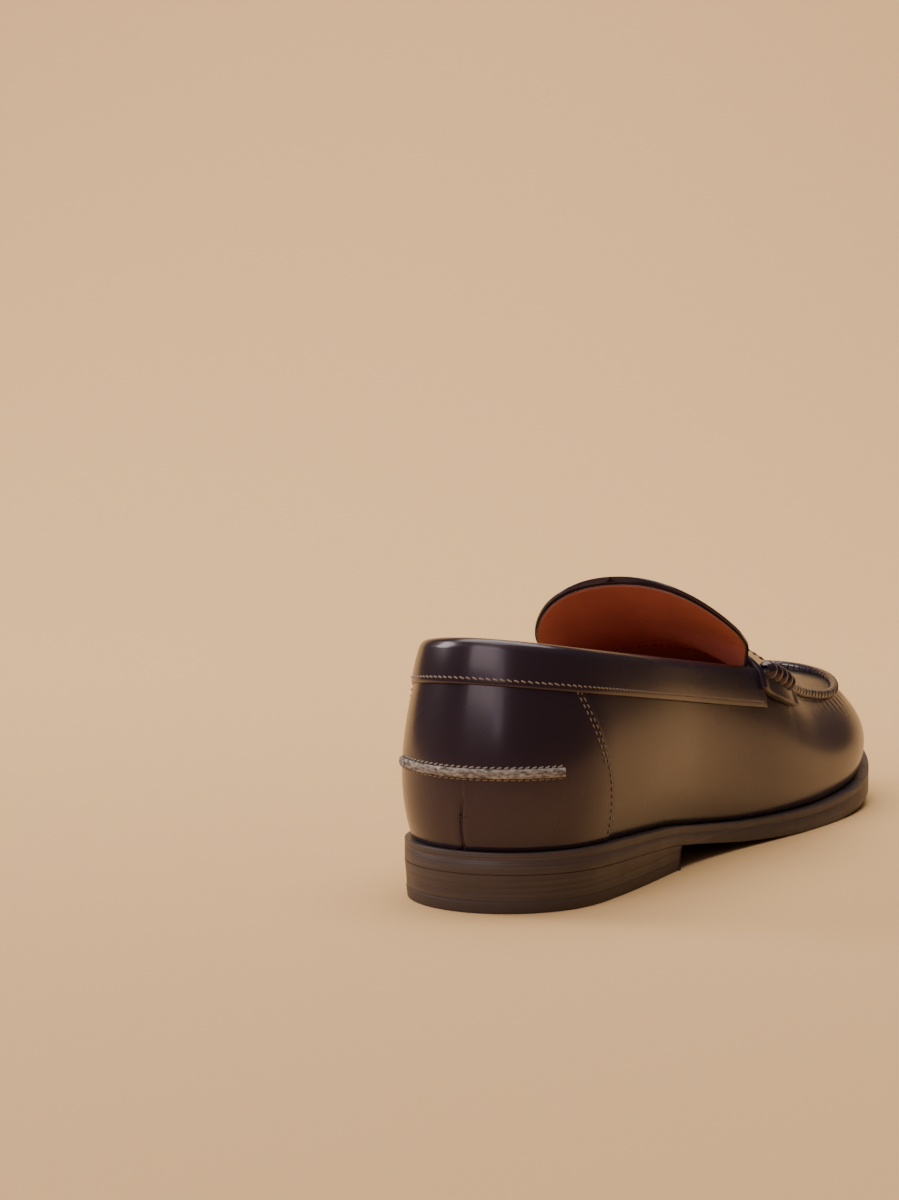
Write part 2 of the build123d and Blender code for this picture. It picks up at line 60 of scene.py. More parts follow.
# The sole: where the heel ends, thicknesses of the layers, and heights of the sock above the seat.
HEEL_BREAST = -56
TOP_PIECE = 3.6
LOWER_LIFT_TOP = 6.4
LOWER_LIFT = 2.7
UPPER_LIFT = 4.0
OUTSOLE = 4.2
MIDSOLE = 2.3
SOCK_BASE = 4.1
SOCK_TOP = 5.0
SOCK_INSET = 8.2
GLUE_LINE = 0.01
# The wall: depths inside its outer face, and how far up and down its pieces reach.
LEATHER = 1.3
LINING_OUT = 2.9
LINING_IN = 3.8
QUARTER_PROUD = 0.45
WALL_FOOT = 0.3
WALL_REACH = 0.985
BINDING_DEPTH = 12.5
COLLAR_FRONT = 4
RIDGE_LOW = 40.6
RIDGE_HIGH = 43.4
RIDGE_END = 0.045
# The top of the forefoot.
STRAP_BACK = 1
STRAP_FRONT = 27
STRAP_THICK = 2.3
APRON_LIFT = 1.35
APRON_RADIUS = 1.75
ROLL_OUT = 2.2
ROLL_RISE = 0.6
# The tongue: its ends, where its round tip starts, half its width, and its leather's thickness.
TONGUE_ROOT = 24
TONGUE_ROUND = -16
TONGUE_TIP = -36
TONGUE_HALF = 33.5
TONGUE_THICK = 2.1
TONGUE_SINK = 1.3
# The way the camera looks; the backdrop is set square to it.
LOOK = (0.896, 0.435, -0.088)


def curve(*keys):
    """A smooth function through (x, value) keys, with level ends outside them."""
    xs = np.array([key[0] for key in keys], float)
    ys = np.array([key[1] for key in keys], float)
    slopes = np.empty(len(keys))
    slopes[1:-1] = (ys[2:] - ys[:-2]) / (xs[2:] - xs[:-2])
    slopes[0] = (ys[1] - ys[0]) / (xs[1] - xs[0])
    slopes[-1] = (ys[-1] - ys[-2]) / (xs[-1] - xs[-2])

    def value(x):
        x = np.clip(x, xs[0], xs[-1])
        i = np.clip(np.searchsorted(xs, x, side="right") - 1, 0, len(xs) - 2)
        span = xs[i + 1] - xs[i]
        t = (x - xs[i]) / span
        start = (1 + 2 * t) * (1 - t) ** 2 * ys[i] + t * (1 - t) ** 2 * span * slopes[i]
        end = t * t * (3 - 2 * t) * ys[i + 1] - t * t * (1 - t) * span * slopes[i + 1]
        return start + end

    return value


# Side view of the sole, then the side wall's reach at four levels and the collar's height.
seat = curve((-150, 18.4), (-110, 17.6), (-65, 15.2), (-39, 12.2), (-9, 9.3), (21, 8.1),
             (51, 8.2), (91, 11.3), (126, 17.5), (152, 24.5))
tread = curve((-150, 11.8), (-110, 10.9), (-65, 8.9), (-39, 5.9), (-9, 2.3), (21, 0.4),
              (41, 0), (56, 0.1), (91, 2.7), (126, 8.9), (152, 16.0))
feather = curve((-150, -2.5), (1, -3.2), (101, -4.5), (151, -6))
belly = curve((-150, 4.2), (-111, 3.6), (-52, 4.0), (1, 2.5), (51, 1.6), (101, 1.2), (151, 1.5))
shoulder = curve((-150, -3.2), (-111, 0), (-52, 1.6), (1, 1.0), (51, -1.6), (101, -2.6), (151, -7))
top_reach = curve((-150, -8.4), (-111, -4.6), (-52, -1.8), (1, -3.4), (51, -11), (101, -13),
                  (151, -23))
collar = curve((-150, 80.5), (-111, 75.2), (-79, 70.6), (-44, 65.6), (-9, 60.6), (30, 55.2))
# Where the wall's top edge leaves the collar's height for the forefoot's surface, and that surface.
under_strap = curve((1, 0), (26, 1))
crown = curve((-36, 93), (-20, 83.6), (1, 72.6), (27, 66.6), (51, 60), (81, 52.4), (111, 46.6),
              (131, 44.6), (151, 43))
arch = curve((-36, 0.0108), (1, 0.0103), (27, 0.0098), (51, 0.0085), (81, 0.006), (111, 0.003),
             (151, 0.002))
tilt = curve((4, 0), (27, 0.03), (51, 0.08), (81, 0.07), (111, 0.025), (131, 0))

# ---------------------------------------------------------------- the sole's edge as a function


def closed_spline(points):
    """Points along a smooth closed curve through the given ones, evenly spaced, and its length."""
    steps, even_steps = 60, 2400
    knots = np.array(points, float)
    count = len(knots)
    spans = np.linalg.norm(np.roll(knots, -1, 0) - knots, axis=1)
    system = np.zeros((count, count))
    right = np.zeros((count, 2))
    for i in range(count):
        before, after = spans[i - 1], spans[i]
        system[i, i - 1] = after
        system[i, i] = 2 * (before + after)
        system[i, (i + 1) % count] = before
        right[i] = 3 * (after * (knots[i] - knots[i - 1]) / before
                        + before * (knots[(i + 1) % count] - knots[i]) / after)
    slopes = np.linalg.solve(system, right)
    t = (np.arange(steps) / steps)[:, None]
    dense = []
    for i in range(count):
        j = (i + 1) % count
        dense.append((1 + 2 * t) * (1 - t) ** 2 * knots[i] + t * (1 - t) ** 2 * spans[i] * slopes[i]
                     + t * t * (3 - 2 * t) * knots[j] - t * t * (1 - t) * spans[i] * slopes[j])
    dense = np.vstack(dense + [knots[:1]])
    length = np.r_[0, np.cumsum(np.linalg.norm(np.diff(dense, axis=0), axis=1))]
    even = np.linspace(0, length[-1], even_steps + 1)
    return np.column_stack([np.interp(even, length, dense[:, k]) for k in (0, 1)]), length[-1]


EDGE, EDGE_LENGTH = closed_spline(SOLE_EDGE)
EDGE_SHARES = np.linspace(0, 1, len(EDGE))
TANGENT = np.roll(EDGE[:-1], -4, 0) - np.roll(EDGE[:-1], 4, 0)
TANGENT /= np.linalg.norm(TANGENT, axis=1)[:, None]
TANGENT = np.vstack([TANGENT, TANGENT[:1]])
HALF = len(EDGE) // 2


def place(u):
    """Points of the sole's edge at shares u of its length."""
    u = np.mod(u, 1)
    return np.stack([np.interp(u, EDGE_SHARES, EDGE[:, k]) for k in (0, 1)], -1)


def outward(u):
    """Unit directions out of the sole's edge, level with the floor."""
    u = np.mod(u, 1)
    along = np.stack([np.interp(u, EDGE_SHARES, TANGENT[:, k]) for k in (0, 1)], -1)
    return np.stack([along[..., 1], -along[..., 0]], -1)


def share_at(x, side):
    """Share of the sole edge at length x; side is -1 for the outer side and 1 for the inner."""
    outer = np.interp(x, EDGE[:HALF, 0], EDGE_SHARES[:HALF])
    inner = np.interp(x, EDGE[HALF:, 0][::-1], EDGE_SHARES[HALF:][::-1])
    return outer if side < 0 else inner


def top_height(x, y):
    """Outer surface of the forefoot, the strap's bed and the tongue."""
    return crown(x) - arch(x) * y * y + tilt(x) * y


def seat_line(u):
    """Height of the wall's bottom edge."""
    return seat(place(u)[..., 0]) + WALL_FOOT


def top_line(u):
    """Height of the top edge of the side wall: the collar, then the apron seam."""
    foot = place(u)
    rim = foot + outward(u) * top_reach(foot[..., 0])[..., None]
    share = under_strap(foot[..., 0])
    return (1 - share) * collar(foot[..., 0]) + share * top_height(rim[..., 0], rim[..., 1])


def wall(u, z, depth):
    """Points of the side wall at height z, depth inside its outer face. Takes arrays."""
    u, z, depth = np.broadcast_arrays(u, z, depth)
    foot = place(u)
    x = foot[..., 0]
    reaches = [feather(x), belly(x), shoulder(x), top_reach(x)]
    bottom = seat_line(u)
    height = top_line(u) - bottom
    v = (z - bottom) / height
    weights = [(1 - v) ** 3, 3 * v * (1 - v) ** 2, 3 * v * v * (1 - v), v ** 3]
    reach = sum(w * r for w, r in zip(weights, reaches))
    steps = [b - a for a, b in zip(reaches, reaches[1:])]
    lean = 3 * (steps[0] * (1 - v) ** 2 + steps[1] * 2 * v * (1 - v) + steps[2] * v * v) / height
    length = np.sqrt(1 + lean * lean)
    flat = foot + outward(u) * (reach - depth / length)[..., None]
    return np.stack([flat[..., 0], flat[..., 1], z + depth * lean / length], -1)


def ripple(a, b, seed):
    """A smooth unevenness about zero over two directions, the same at every run."""
    rng = np.random.default_rng(seed)
    waves, full_turn = 6, 6.28
    total = 0
    for _ in range(waves):
        turn, phase = rng.uniform(0, full_turn), rng.uniform(0, full_turn)
        size = rng.uniform(0.6, 1.6)
        total = total + np.sin(size * (a * math.cos(turn) + b * math.sin(turn)) + phase)
    return total / waves


# ---------------------------------------------------------------- meshes


def build_mesh(name, points, faces, material, body, slot, nodes=()):
    """A smooth-shaded object from points in millimetres, riding on a CAD body if one is given."""
    mesh = bpy.data.meshes.new(name)
    mesh.from_pydata((np.asarray(points, float).reshape(-1, 3) * MM).tolist(), [], faces)
    mesh.validate()
    mesh.shade_smooth()
    mesh.materials.append(material)
    piece = bpy.data.objects.new(name, mesh)
    bpy.context.scene.collection.objects.link(piece)
    if body:
        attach(piece, body)
    if nodes:
        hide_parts(*nodes)
    return piece


def build_rings(name, rings, material, slot="upper_leather", nodes=None, body="shoe"):
    """A piece made of rings of points, in place of the CAD node of its name unless told others."""
    nodes = (name,) if nodes is None else nodes
    return build_mesh(name, rings, tube_faces(*rings.shape[:2]), material, body, slot, nodes)


def build_threads(name, parts, material, slot="thread", nodes=None, body="shoe"):
    """The same for many pairs of points and faces."""
    nodes = (name,) if nodes is None else nodes
    return build_mesh(name, *join(parts), material, body, slot, nodes)


def grid_faces(rows, columns, closed=False):
    """Quads between neighbours in a grid of points stored row by row. Closed rows are rings."""
    faces = []
    for i in range(rows - 1):
        for j in range(columns if closed else columns - 1):
            k, n = i + 1, (j + 1) % columns
            faces.append((i * columns + j, i * columns + n, k * columns + n, k * columns + j))
    return faces


def tube_faces(rings, around):
    """Quads of a tube of rings, and its flat ends."""
    faces = grid_faces(rings, around, closed=True)
    faces.append(tuple(range(around)))
    faces.append(tuple((rings - 1) * around + i for i in reversed(range(around))))
    return faces


def wall_loop(low, high, outer, inner, levels):
    """The (share of height, depth) pairs round a slice of a wall layer, with soft corners."""
    up = np.linspace(low, high, levels)
    thick = inner - outer
    soft = 0.01
    loop = [(v, outer) for v in up]
    loop += [(high + soft * 0.7, outer + thick * 0.15), (high + soft, outer + thick * 0.5),
             (high + soft * 0.7, outer + thick * 0.85)]
    loop += [(v, inner) for v in up[::-2]]
    loop += [(low - soft * 0.5, outer + thick * 0.75), (low - soft * 0.5, outer + thick * 0.25)]
    return np.array(loop)


def heights(u, v):
    """Heights at the shares v of the way up the wall."""
    bottom = seat_line(u)
    return bottom + v * (top_line(u) - bottom)


def wall_piece(name, shares, loop, relief, slices, **looks):
    """A layer of the wall. shares(t, v) says where each slice stands at each level."""
    t = np.linspace(0, 1, slices)[:, None]
    v = loop[None, :, 0]
    u = shares(t, v)
    outside = loop[None, :, 1] <= loop[:, 1].min() + 1e-6
    depth = loop[None, :, 1] - outside * relief(u, v)
    build_rings(name, wall(u, heights(u, v), depth), **looks)


def sweep(path, across, normal, outline):
    """Rings of points along a path. outline is (count, 2): along across and along normal."""
    return (path[:, None, :] + across[:, None, :] * outline[..., 0:1]
            + normal[:, None, :] * outline[..., 1:2])


def unit(vectors):
    return vectors / np.linalg.norm(vectors, axis=-1, keepdims=True)


def circle(radius, count):
    turn = np.linspace(0, 2 * math.pi, count, endpoint=False)
    return np.column_stack([np.cos(turn), np.sin(turn)]) * radius


def resample(path, step):
    """The same path with points about a step apart."""
    length = np.r_[0, np.cumsum(np.linalg.norm(np.diff(path, axis=0), axis=1))]
    count = max(int(round(length[-1] / step)), 2)
    even = np.linspace(0, length[-1], count + 1)
    return np.column_stack([np.interp(even, length, path[:, k]) for k in range(path.shape[1])])


def stitches(path, normals, pitch, fill, radius, slant=0.0, seed=1):
    """Points and faces of a row of separate stitches that dip into the leather at both ends."""
    rng = np.random.default_rng(seed)
    line = resample(np.hstack([path, normals]), pitch)
    points, faces = [], []
    ring = circle(1, 8)
    arc = np.linspace(-1, 1, 7)
    unevenness = 0.05
    for a, b in zip(line[:-1], line[1:]):
        start, end, normal = a[:3], b[:3], unit(a[3:] + b[3:])
        along = unit(end - start)
        side = np.cross(normal, along)
        turn = slant + rng.normal(0, unevenness)
        run = along * math.cos(turn) + side * math.sin(turn)
        cross = np.cross(normal, run)
        half = fill * pitch / 2 * (1 + rng.normal(0, unevenness))
        centre = (start + end) / 2
        base = len(points)
        for s in arc:
            fat = radius * math.sqrt(max(1 - 0.72 * s ** 4, 0))
            rise = radius * (0.75 - 1.35 * s * s)
            core = centre + run * half * s + normal * rise
            points.extend(core + cross * p[0] * fat + normal * p[1] * fat for p in ring)
        faces.extend(tuple(base + i for i in face) for face in tube_faces(len(arc), len(ring)))
    return points, faces


def join(parts):
    """One list of points and one of faces from many pairs of them."""
    points, faces = [], []
    for some, more in parts:
        base = len(points)
        points.extend(some)
        faces.extend(tuple(base + i for i in face) for face in more)
    return points, faces


def slab(name, outer, inner, low, high, edge, **looks):
    """A flat layer between two side curves. outer and inner run from back to front and pair up.

    edge lists (inset, share of thickness) round the rim, from the bottom face to the top face.
    """
    sides = np.vstack([outer, inner[::-1][1:-1]])
    around = len(sides)
    tangent = unit(np.roll(sides, -1, 0) - np.roll(sides, 1, 0))
    inwards = -np.column_stack([tangent[:, 1], -tangent[:, 0]])
    points = []
    for inset, share in edge:
        flat = sides + inwards * inset
        z = low(flat[:, 0]) + share * (high(flat[:, 0]) - low(flat[:, 0]))
        points.append(np.column_stack([flat, z]))
    rings = len(edge)
    faces = grid_faces(rings, around, closed=True)
    points = [np.vstack(points)]
    total = rings * around
    rows = len(outer)
    across = np.linspace(0, 1, 14)
    for height, start, flip in ((low, 0, True), (high, (rings - 1) * around, False)):
        ring = points[0][start:start + around]
        left = ring[:rows]
        right = np.vstack([ring[:1], ring[rows:][::-1], ring[rows - 1:rows]])
        cap = left[:, None, :2] + (right - left)[:, None, :2] * across[None, :, None]
        z = height(cap[..., 0])
        points.append(np.concatenate([cap, z[..., None]], -1).reshape(-1, 3))
        cap_faces = grid_faces(rows, len(across))
        faces += [tuple(total + i for i in (face[::-1] if flip else face)) for face in cap_faces]
        total += rows * len(across)
    return build_mesh(name, np.vstack(points), faces, body="shoe", nodes=(name,), **looks)


# ---------------------------------------------------------------- materials


def new_material(name, colour, roughness, specular=0.5):
    """A material with a plain colour and roughness, which textures may take over."""
    material = bpy.data.materials.new(name)
    material.use_nodes = True
    shader = material.node_tree.nodes["Principled BSDF"]
    shader.inputs["Base Color"].default_value = (*colour, 1)
    shader.inputs["Roughness"].default_value = roughness
    shader.inputs["Specular IOR Level"].default_value = specular
    return material, shader


def place_texture(material, kind, scale, stretch=(1, 1, 1), **inputs):
    """A procedural texture in object space. Returns its node."""
    nodes, links = material.node_tree.nodes, material.node_tree.links
    coordinates = nodes.new("ShaderNodeTexCoord")
    mapping = nodes.new("ShaderNodeMapping")
    mapping.inputs["Scale"].default_value = stretch
    texture = nodes.new(kind)
    texture.inputs["Scale"].default_value = scale
    for key, value in inputs.items():
        texture.inputs[key].default_value = value
    links.new(coordinates.outputs["Object"], mapping.inputs["Vector"])
    links.new(mapping.outputs["Vector"], texture.inputs["Vector"])
    return texture


def tint(material, shader, texture, output, dark, light, low=0.3, high=0.7):
    """Drives the base colour between two colours by a texture."""
    nodes, links = material.node_tree.nodes, material.node_tree.links
    ramp = nodes.new("ShaderNodeValToRGB")
    ramp.color_ramp.elements[0].position = low
    ramp.color_ramp.elements[0].color = (*dark, 1)
    ramp.color_ramp.elements[1].position = high
    ramp.color_ramp.elements[1].color = (*light, 1)
    links.new(texture.outputs[output], ramp.inputs["Fac"])
    links.new(ramp.outputs["Color"], shader.inputs["Base Color"])


def vary_roughness(material, shader, texture, output, low, high):
    """Drives the roughness between two values by a texture."""
    nodes, links = material.node_tree.nodes, material.node_tree.links
    spread = nodes.new("ShaderNodeMapRange")
    spread.inputs["To Min"].default_value = low
    spread.inputs["To Max"].default_value = high
    links.new(texture.outputs[output], spread.inputs["Value"])
    links.new(spread.outputs["Result"], shader.inputs["Roughness"])


def add_bump(material, shader, texture, output, strength, distance):
    """Stacks a bump on whatever bump the shader already has."""
    nodes, links = material.node_tree.nodes, material.node_tree.links
    bump = nodes.new("ShaderNodeBump")
    bump.inputs["Strength"].default_value = strength
    bump.inputs["Distance"].default_value = distance
    links.new(texture.outputs[output], bump.inputs["Height"])
    if shader.inputs["Normal"].is_linked:
        links.new(shader.inputs["Normal"].links[0].from_socket, bump.inputs["Normal"])
    links.new(bump.outputs["Normal"], shader.inputs["Normal"])


def polished_leather():
    """Dark purplish brown leather with a hand-polished surface and uneven gloss."""
    material, shader = new_material("polished_leather", (0.02, 0.01, 0.009), 0.24, 0.45)
    cloud = place_texture(material, "ShaderNodeTexNoise", 14, Detail=1)
    tint(material, shader, cloud, "Fac", (0.0170, 0.0105, 0.0190), (0.0240, 0.0150, 0.0255), 0, 1)
    gloss = place_texture(material, "ShaderNodeTexNoise", 25, Detail=2)
    vary_roughness(material, shader, gloss, "Fac", 0.22, 0.34)
    shader.inputs["Specular Tint"].default_value = (1.0, 0.80, 0.92, 1)
    shader.inputs["Coat Weight"].default_value = 0.25
    shader.inputs["Coat Roughness"].default_value = 0.13
    return material


def plug_leather():
    """The same leather, less rubbed up on the top of the forefoot."""
    material, shader = new_material("plug_leather", (0.03, 0.016, 0.012), 0.36, 0.55)
    cloud = place_texture(material, "ShaderNodeTexNoise", 18, Detail=4)
    tint(material, shader, cloud, "Fac", (0.011, 0.0055, 0.0055), (0.026, 0.013, 0.011))
    gloss = place_texture(material, "ShaderNodeTexNoise", 60, Detail=4)
    vary_roughness(material, shader, gloss, "Fac", 0.30, 0.44)
    grain = place_texture(material, "ShaderNodeTexVoronoi", 1100)
    add_bump(material, shader, grain, "Distance", 0.25, 0.0003)
    shader.inputs["Coat Weight"].default_value = 0.2
    shader.inputs["Coat Roughness"].default_value = 0.25
    return material


def worn_edge():
    """Cut edge of the heel lip: dye rubbed off, pale fibres showing through."""
    material, shader = new_material("worn_edge", (0.3, 0.24, 0.2), 0.7, 0.35)
    fibres = place_texture(material, "ShaderNodeTexNoise", 500, (1, 1, 3.0), Detail=7)
    tint(material, shader, fibres, "Fac", (0.060, 0.048, 0.046), (0.40, 0.36, 0.34), 0.36, 0.70)
    add_bump(material, shader, fibres, "Fac", 0.6, 0.0004)
    return material


def lining_leather():
    """Soft rust-tan lining with a fine nap."""
    material, shader = new_material("lining_leather", (0.25, 0.06, 0.025), 0.7, 0.25)
    cloud = place_texture(material, "ShaderNodeTexNoise", 40, Detail=4)
    tint(material, shader, cloud, "Fac", (0.40, 0.110, 0.085), (0.52, 0.175, 0.135))
    grain = place_texture(material, "ShaderNodeTexVoronoi", 1700)
    add_bump(material, shader, grain, "Distance", 0.22, 0.0003)
    shader.inputs["Sheen Weight"].default_value = 0.25
    shader.inputs["Sheen Roughness"].default_value = 0.5
    shader.inputs["Sheen Tint"].default_value = (0.8, 0.35, 0.2, 1)
    return material


def sole_edge():
    """Stacked sole leather, stained dark, with fine horizontal layers."""
    material, shader = new_material("sole_edge", (0.03, 0.016, 0.012), 0.5, 0.4)
    layers = place_texture(material, "ShaderNodeTexNoise", 12, (1.2, 1.2, 170), Detail=5)
    tint(material, shader, layers, "Fac", (0.042, 0.029, 0.031), (0.078, 0.055, 0.054), 0.30, 0.72)
    add_bump(material, shader, layers, "Fac", 0.25, 0.0003)
    marks = place_texture(material, "ShaderNodeTexNoise", 160, Detail=5)
    vary_roughness(material, shader, marks, "Fac", 0.36, 0.58)
    return material


def sole_bottom_rubber():
    """Dark brown rubber with a fine grit."""
    material, shader = new_material("heel_rubber", (0.052, 0.036, 0.036), 0.55, 0.4)
    grit = place_texture(material, "ShaderNodeTexNoise", 700, Detail=3)
    add_bump(material, shader, grit, "Fac", 0.3, 0.0003)
    return material


def sewing_thread(name, colour):
    """Waxed twisted thread."""
    material, shader = new_material(name, colour, 0.45, 0.45)
    twist = place_texture(material, "ShaderNodeTexWave", 900, Distortion=1.5)
    add_bump(material, shader, twist, "Fac", 0.4, 0.0002)
    return material


def plain(name, colour, roughness, scale, metallic=0.0):
    """Finish for pieces inside the shoe, with a little unevenness."""
    material, shader = new_material(name, colour, roughness)
    shader.inputs["Metallic"].default_value = metallic
    grain = place_texture(material, "ShaderNodeTexNoise", scale, Detail=4)
    tint(material, shader, grain, "Fac", tuple(0.7 * part for part in colour), colour)
    add_bump(material, shader, grain, "Fac", 0.2, 0.0003)
    return material


UPPER = polished_leather()
PLUG = plug_leather()
WORN = worn_edge()
LINER = lining_leather()
SOLE = sole_edge()
RUBBER = sole_bottom_rubber()
DARK_THREAD = sewing_thread("dark_thread", (0.02, 0.013, 0.011))
LIGHT_THREAD = sewing_thread("light_thread", (0.24, 0.185, 0.15))
RUST_THREAD = sewing_thread("rust_thread", (0.05, 0.012, 0.007))

HIDDEN = {
    "insole_board": plain("fibre_board", (0.35, 0.25, 0.16), 0.8, 500),
    "cork_filler": plain("cork", (0.30, 0.17, 0.08), 0.85, 350),
    "heel_counter": plain("counter_board", (0.45, 0.38, 0.28), 0.7, 400),
    "toe_puff": plain("puff_board", (0.45, 0.38, 0.28), 0.7, 400),
    "collar_padding": plain("foam", (0.6, 0.52, 0.38), 0.9, 800),
    "shank": plain("spring_steel", (0.5, 0.5, 0.5), 0.3, 200, 1.0),
    "heel_nails": plain("brass", (0.6, 0.42, 0.16), 0.35, 300, 1.0),
    "top_piece_pins": plain("steel", (0.45, 0.45, 0.45), 0.35, 300, 1.0),
    "plug_lining": LINER,
}
for node, finish in HIDDEN.items():
    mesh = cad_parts[node].data
    mesh.materials.clear()
    mesh.materials.append(finish)

# ---------------------------------------------------------------- sole and heel


def edge_halves(inset, front=None):
    """Matching rows of points from the back to the front on both sides of the sole's outline."""
    stop = 0.5 if front is None else share_at(front, -1)
    other = 0.5 if front is None else share_at(front, 1)
    t = np.linspace(0, 1, 161)
    u, w = stop * t, 1 - (1 - other) * t
    outer = place(u) - outward(u) * inset
    inner = place(w) - outward(w) * inset
    if front is not None:
        breast = np.linspace(1, 0, 12)[1:, None]
        middle = (outer[-1] + inner[-1]) / 2
        outer = np.vstack([outer, middle + (outer[-1] - middle) * breast])
        inner = np.vstack([inner, middle + (inner[-1] - middle) * breast])
    return outer, inner


def soft_edge(size, thick):
    """A rim with rounded corners: (inset, share of thickness) from the bottom to the top."""
    turn = np.linspace(0, math.pi / 2, 5)
    low = [(size * (1 - math.sin(a)), size * (1 - math.cos(a)) / thick) for a in turn]
    return low + [(inset, 1 - share) for inset, share in reversed(low)]


def tapered(edge, low, high):
    """The same rim leaning in by low at the bottom and high at the top."""
    return [(inset + low + (high - low) * share, share) for inset, share in edge]


def beside_seat(offset):
    """A side curve at an offset from the seat."""
    return lambda x: seat(x) + offset


def level(z):
    """A side curve that is flat."""
    return lambda x: np.full_like(x, z)


def flat_sole():
    halves = edge_halves(0)
    looks = {"material": SOLE, "slot": "sole_leather"}
    square_foot = [(0, 0)]
    tucked_top = [(0, 0.99), (0.04, 1)]
    slab("midsole", *halves, beside_seat(-MIDSOLE), beside_seat(0),
         square_foot + soft_edge(0.3, MIDSOLE)[5:], **looks)
    slab("outsole", *halves, tread, beside_seat(-MIDSOLE),
         soft_edge(0.4, OUTSOLE)[:5] + tucked_top, **looks)


def heel():
    """Two leather lifts and a rubber top piece, each leaning in a little below the one above."""
    halves = edge_halves(0, HEEL_BREAST)
    slab("heel_upper_lift", *halves,
         level(LOWER_LIFT_TOP + GLUE_LINE), lambda x: tread(x) - GLUE_LINE,
         tapered(soft_edge(0.03, UPPER_LIFT), 0.45, 0.02), material=SOLE, slot="sole_leather")
    slab("heel_lower_lift", *halves,
         level(TOP_PIECE + GLUE_LINE), level(LOWER_LIFT_TOP - GLUE_LINE),
         tapered(soft_edge(0.03, LOWER_LIFT), 0.62, 0.45), material=SOLE, slot="sole_leather")
    slab("heel_top_piece", *halves, level(0), level(TOP_PIECE - 3 * GLUE_LINE),
         tapered(soft_edge(0.25, TOP_PIECE), 0.85, 0.45), material=RUBBER, slot="rubber")


def sock_liner():
    slab("sock_liner", *edge_halves(SOCK_INSET), beside_seat(SOCK_BASE), beside_seat(SOCK_TOP),
         soft_edge(0.3, SOCK_TOP - SOCK_BASE), material=LINER, slot="lining_leather")


flat_sole()
heel()
sock_liner()

# ---------------------------------------------------------------- walls of the upper

# Where the side seams of the heel quarter stand at each share of the wall's height.
seam_x = curve((0, -110), (0.35, -113.5), (0.7, -122), (1, -132))


def vamp_shares(t, v):
    """The vamp wall runs round the toe, from one side seam to the other."""
    outer, inner = share_at(seam_x(v), -1), share_at(seam_x(v), 1)
    return outer + t * (inner - outer)


def quarter_shares(t, v):
    """The quarter runs round the heel, from the inner side seam to the outer one."""
    inner, outer = share_at(seam_x(v), 1) - 1, share_at(seam_x(v), -1)
    return inner + t * (outer - inner)


def lining_shares(t, v):
    """The lining runs all the way round and stops just short of its own start."""
    return t * (1 - 1e-6) + 0 * v


def no_relief(u, v):
    return 0 * u * v


def vamp_relief(u, v):
    """Slow waves of worn leather, and small gathers below the apron seam round the toe."""
    run = (u - 0.5) * EDGE_LENGTH
    gathers = np.exp(-((v - 0.93) / 0.08) ** 2) * np.exp(-(run / 95) ** 4)
    return 0.55 * ripple(run / 17, v * 3.2, 5) + 0.16 * np.sin(run * 1.15) * gathers


def quarter_relief(u, v):
    """The butted back seam below the lip draws the leather in, with slight puckers beside it."""
    z = heights(u, v)
    run = u * EDGE_LENGTH - 0.5 * np.sin(z / 5)
    below = 1 / (1 + np.exp((z - RIDGE_LOW + 6) / 1.2))
    seam = -0.9 * np.exp(-(run / 0.45) ** 2) + 0.22 * np.exp(-((np.abs(run) - 1.8) / 1.6) ** 2)
    return 0.14 * ripple(u * EDGE_LENGTH / 14, v * 3, 8) + below * seam


def wall_layers():
    wall_piece("vamp_wall", vamp_shares, wall_loop(0, WALL_REACH, 0, LEATHER, 40), vamp_relief,
               slices=460, material=UPPER)
    wall_piece("quarter_panel", quarter_shares,
               wall_loop(0, WALL_REACH, -QUARTER_PROUD, LEATHER - QUARTER_PROUD, 40),
               quarter_relief, slices=420, material=UPPER)
    wall_piece("lining", lining_shares, wall_loop(0.005, 0.965, LINING_OUT, LINING_IN, 24),
               no_relief, slices=300, material=LINER, slot="lining_leather",
               nodes=("quarter_lining", "vamp_lining"))


def heel_ridge():
    """The heel lip: a strip standing on the wall, softly squared, with an uneven worn edge."""
    around = 20
    turn = np.linspace(0, 2 * math.pi, around, endpoint=False)
    lift = np.sign(np.sin(turn)) * np.abs(np.sin(turn)) ** (2 / 3)
    reach = np.sign(np.cos(turn)) * np.abs(np.cos(turn)) ** (2 / 3)
    middle, half_height = (RIDGE_LOW + RIDGE_HIGH) / 2, (RIDGE_HIGH - RIDGE_LOW) / 2
    proud, sunk = QUARTER_PROUD + 1.25, QUARTER_PROUD - 0.2
    u = np.linspace(-RIDGE_END, RIDGE_END, 240)
    rings = wall(u[:, None], middle + half_height * lift[None, :],
                 -(proud + sunk) / 2 - (proud - sunk) / 2 * reach[None, :])
    wear = np.clip(reach, 0, 1)[None, :, None] * 0.16
    noise = ripple(u[:, None] * EDGE_LENGTH * 2.2, np.arange(around)[None, :] * 0.8, 3)
    rings[..., :2] += outward(u)[:, None, :] * wear * noise[..., None]
    build_rings("heel_ridge", rings, WORN, "raw_leather_edge")


